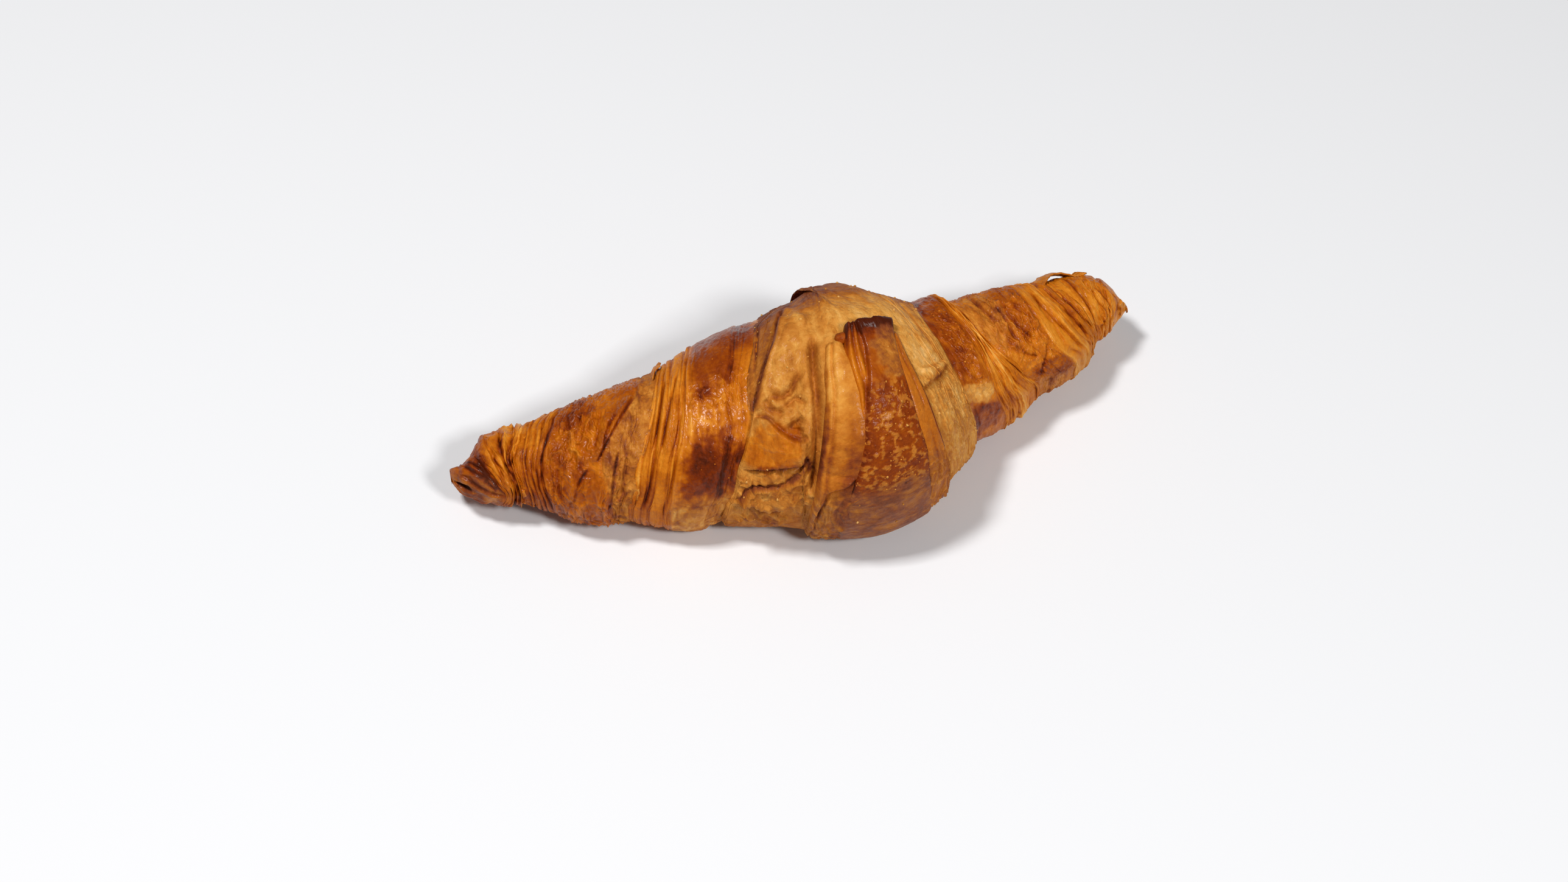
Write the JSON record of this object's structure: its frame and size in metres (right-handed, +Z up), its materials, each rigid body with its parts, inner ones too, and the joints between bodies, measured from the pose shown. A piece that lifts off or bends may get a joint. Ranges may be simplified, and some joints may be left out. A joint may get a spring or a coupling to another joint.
{
  "type": "croissant",
  "caption": "Baked croissant: slanted overlapping turns of flaky dough, a tongue of dough down the front, and two horns that curl up off the table.",
  "frame": {"origin": "on the surface that the croissant lies on, under the middle of its bounding box", "axes": "+X along the croissant from the left horn to the right one, as seen from the side with the tongue; +Z up; the tongue is on the -Y side"},
  "size_m": [0.172, 0.0616, 0.0479],
  "materials": {
    "crust": "browned laminated pastry: egg-washed glossy brown skin on each turn, matte cream and pale orange edges of layers, dark brown where the skin stands proud"
  },
  "bodies": {
    "root": {"croissant": "crust"}
  },
  "joints": []
}
